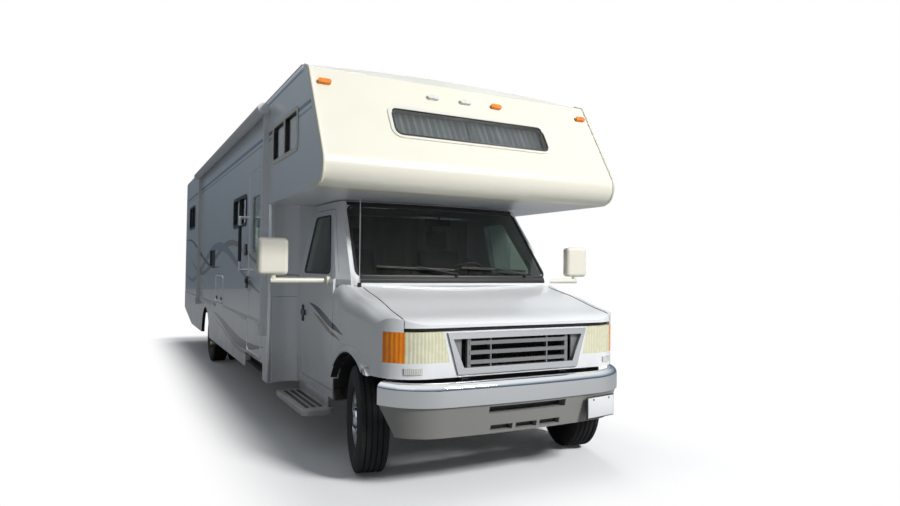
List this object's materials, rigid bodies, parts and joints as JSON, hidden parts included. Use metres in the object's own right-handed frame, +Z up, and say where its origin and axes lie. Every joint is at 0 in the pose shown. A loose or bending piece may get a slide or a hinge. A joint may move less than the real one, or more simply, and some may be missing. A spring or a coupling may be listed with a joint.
{
  "type": "cab-over motorhome",
  "caption": "Motorhome with a bonneted van cab, a long slab-sided coach body and a sleeping nose over the cab; doors, hood, steering and wheels move.",
  "frame": {"origin": "on the ground, midway along and across the vehicle", "axes": "+Z up, front towards -Y, kerb side with the entry door towards -X, driver's side towards +X"},
  "size_m": [3.09, 9.75, 3.265],
  "materials": {
    "chassis_paint": "satin black",
    "cast_metal": "rough",
    "pipe_steel": "dull",
    "tank_plastic": "matt",
    "tyre_rubber": "matt",
    "wheel_chrome": "polished",
    "cab_white": "gloss",
    "coach_white": "gloss",
    "cap_ivory": "gelcoat gloss",
    "chrome": "polished",
    "grille_grey": "satin",
    "lamp_lens": "aged clear lens",
    "amber_lens": "amber lens",
    "marker_lens": "lens",
    "valance_grey": "moulded grain",
    "dark_glass": "tinted",
    "black_plastic": "moulded",
    "dash_plastic": "grained",
    "seat_fabric": "woven",
    "board_white": "moulded",
    "floor_board": "plain",
    "aluminium_trim": "satin",
    "awning_vinyl": "satin",
    "roof_membrane": "matt",
    "step_steel": "satin black"
  },
  "bodies": {
    "vehicle": {"chassis_frame": "chassis_paint", "front_axle_beams": "cast_metal", "springs": "chassis_paint", "rear_axle": "cast_metal", "drive_shaft": "pipe_steel", "engine_block": "cast_metal", "fuel_tank": "tank_plastic", "exhaust": "pipe_steel", "front_clip": "cab_white", "grille": "chrome", "headlamps": "lamp_lens", "turn_lamps": "amber_lens", "front_bumper": "chrome", "bumper_valance": "valance_grey", "cab_shell": "cab_white", "windscreen": "dark_glass", "dashboard": "dash_plastic", "steering_wheel": "dash_plastic", "cab_seats": "seat_fabric", "running_boards": "board_white", "coach_floor": "floor_board", "coach_rear_wall": "coach_white", "coach_roof": "roof_membrane", "cab_over_cap": "cap_ivory", "bunk_floor": "coach_white", "transition_panels": "coach_white", "entry_step": "step_steel", "assist_handle": "aluminium_trim", "appliance_vent": "black_plastic", "awning": "awning_vinyl", "roof_fittings": "awning_vinyl", "rear_ladder": "aluminium_trim", "rear_bumper": "chassis_paint", "marker_lamps": "marker_lens", "coach_window_frames": "black_plastic", "coach_glass": "dark_glass", "coach_wall_kerb": "coach_white", "coach_wall_driver": "coach_white"},
    "steer_driver": {"knuckle_driver": "cast_metal"},
    "front_wheel_driver": {"wheel_front_driver": "wheel_chrome", "tyre_front_driver": "tyre_rubber"},
    "rear_wheels_driver": {"wheels_rear_driver": "wheel_chrome", "tyres_rear_driver": "tyre_rubber"},
    "cab_door_driver": {"cab_door_driver": "cab_white", "cab_door_glass_driver": "dark_glass", "mirror_driver": "cap_ivory"},
    "baggage_door_driver": {"baggage_door_driver": "coach_white"},
    "steer_kerb": {"knuckle_kerb": "cast_metal"},
    "front_wheel_kerb": {"wheel_front_kerb": "wheel_chrome", "tyre_front_kerb": "tyre_rubber"},
    "rear_wheels_kerb": {"wheels_rear_kerb": "wheel_chrome", "tyres_rear_kerb": "tyre_rubber"},
    "cab_door_kerb": {"cab_door_kerb": "cab_white", "cab_door_glass_kerb": "dark_glass", "mirror_kerb": "cap_ivory"},
    "baggage_door_kerb": {"baggage_door_kerb": "coach_white"},
    "hood": {"hood": "cab_white"},
    "entry_door": {"entry_door": "coach_white", "entry_door_glass": "dark_glass"}
  },
  "joints": [
    {"name": "steer_driver", "type": "hinge", "parent": "vehicle", "child": "steer_driver", "pos_m": [0.76, -4.135, 0.372], "axis": [0, 0, 1], "range_deg": [-21, 45]},
    {"name": "front_wheel_driver_spin", "type": "hinge", "parent": "steer_driver", "child": "front_wheel_driver", "pos_m": [0.76, -4.135, 0.372], "axis": [0.9781, -0.2079, 0], "continuous": true},
    {"name": "rear_wheels_driver_spin", "type": "hinge", "parent": "vehicle", "child": "rear_wheels_driver", "pos_m": [0.95, 1.715, 0.372], "axis": [1, 0, 0], "continuous": true},
    {"name": "cab_door_driver_swing", "type": "hinge", "parent": "vehicle", "child": "cab_door_driver", "pos_m": [1.005, -3.683, 1], "axis": [0, 0, -1], "range_deg": [0, 65]},
    {"name": "steer_kerb", "type": "hinge", "parent": "vehicle", "child": "steer_kerb", "pos_m": [-0.76, -4.135, 0.372], "axis": [0, 0, 1], "range_deg": [-21, 45]},
    {"name": "front_wheel_kerb_spin", "type": "hinge", "parent": "steer_kerb", "child": "front_wheel_kerb", "pos_m": [-0.76, -4.135, 0.372], "axis": [0.9781, -0.2079, 0], "continuous": true},
    {"name": "rear_wheels_kerb_spin", "type": "hinge", "parent": "vehicle", "child": "rear_wheels_kerb", "pos_m": [-0.95, 1.715, 0.372], "axis": [1, 0, 0], "continuous": true},
    {"name": "cab_door_kerb_swing", "type": "hinge", "parent": "vehicle", "child": "cab_door_kerb", "pos_m": [-1.005, -3.683, 1], "axis": [0, 0, 1], "range_deg": [0, 65]},
    {"name": "entry_door_swing", "type": "hinge", "parent": "vehicle", "child": "entry_door", "pos_m": [-1.27, -2.358, 1.4], "axis": [0, 0, 1], "range_deg": [0, 95]},
    {"name": "baggage_door_kerb_lift", "type": "hinge", "parent": "vehicle", "child": "baggage_door_kerb", "pos_m": [-1.27, 0.36, 1.323], "axis": [0, 1, 0], "range_deg": [0, 100]},
    {"name": "baggage_door_driver_lift", "type": "hinge", "parent": "vehicle", "child": "baggage_door_driver", "pos_m": [1.27, -0.535, 0.803], "axis": [0, -1, 0], "range_deg": [0, 100]},
    {"name": "hood_lift", "type": "hinge", "parent": "vehicle", "child": "hood", "pos_m": [0, -3.907, 1.28875], "axis": [-1, 0, 0], "range_deg": [0, 55]}
  ],
  "couplings": [
    {"joint": "steer_kerb", "follows": "steer_driver", "ratio": 1}
  ]
}
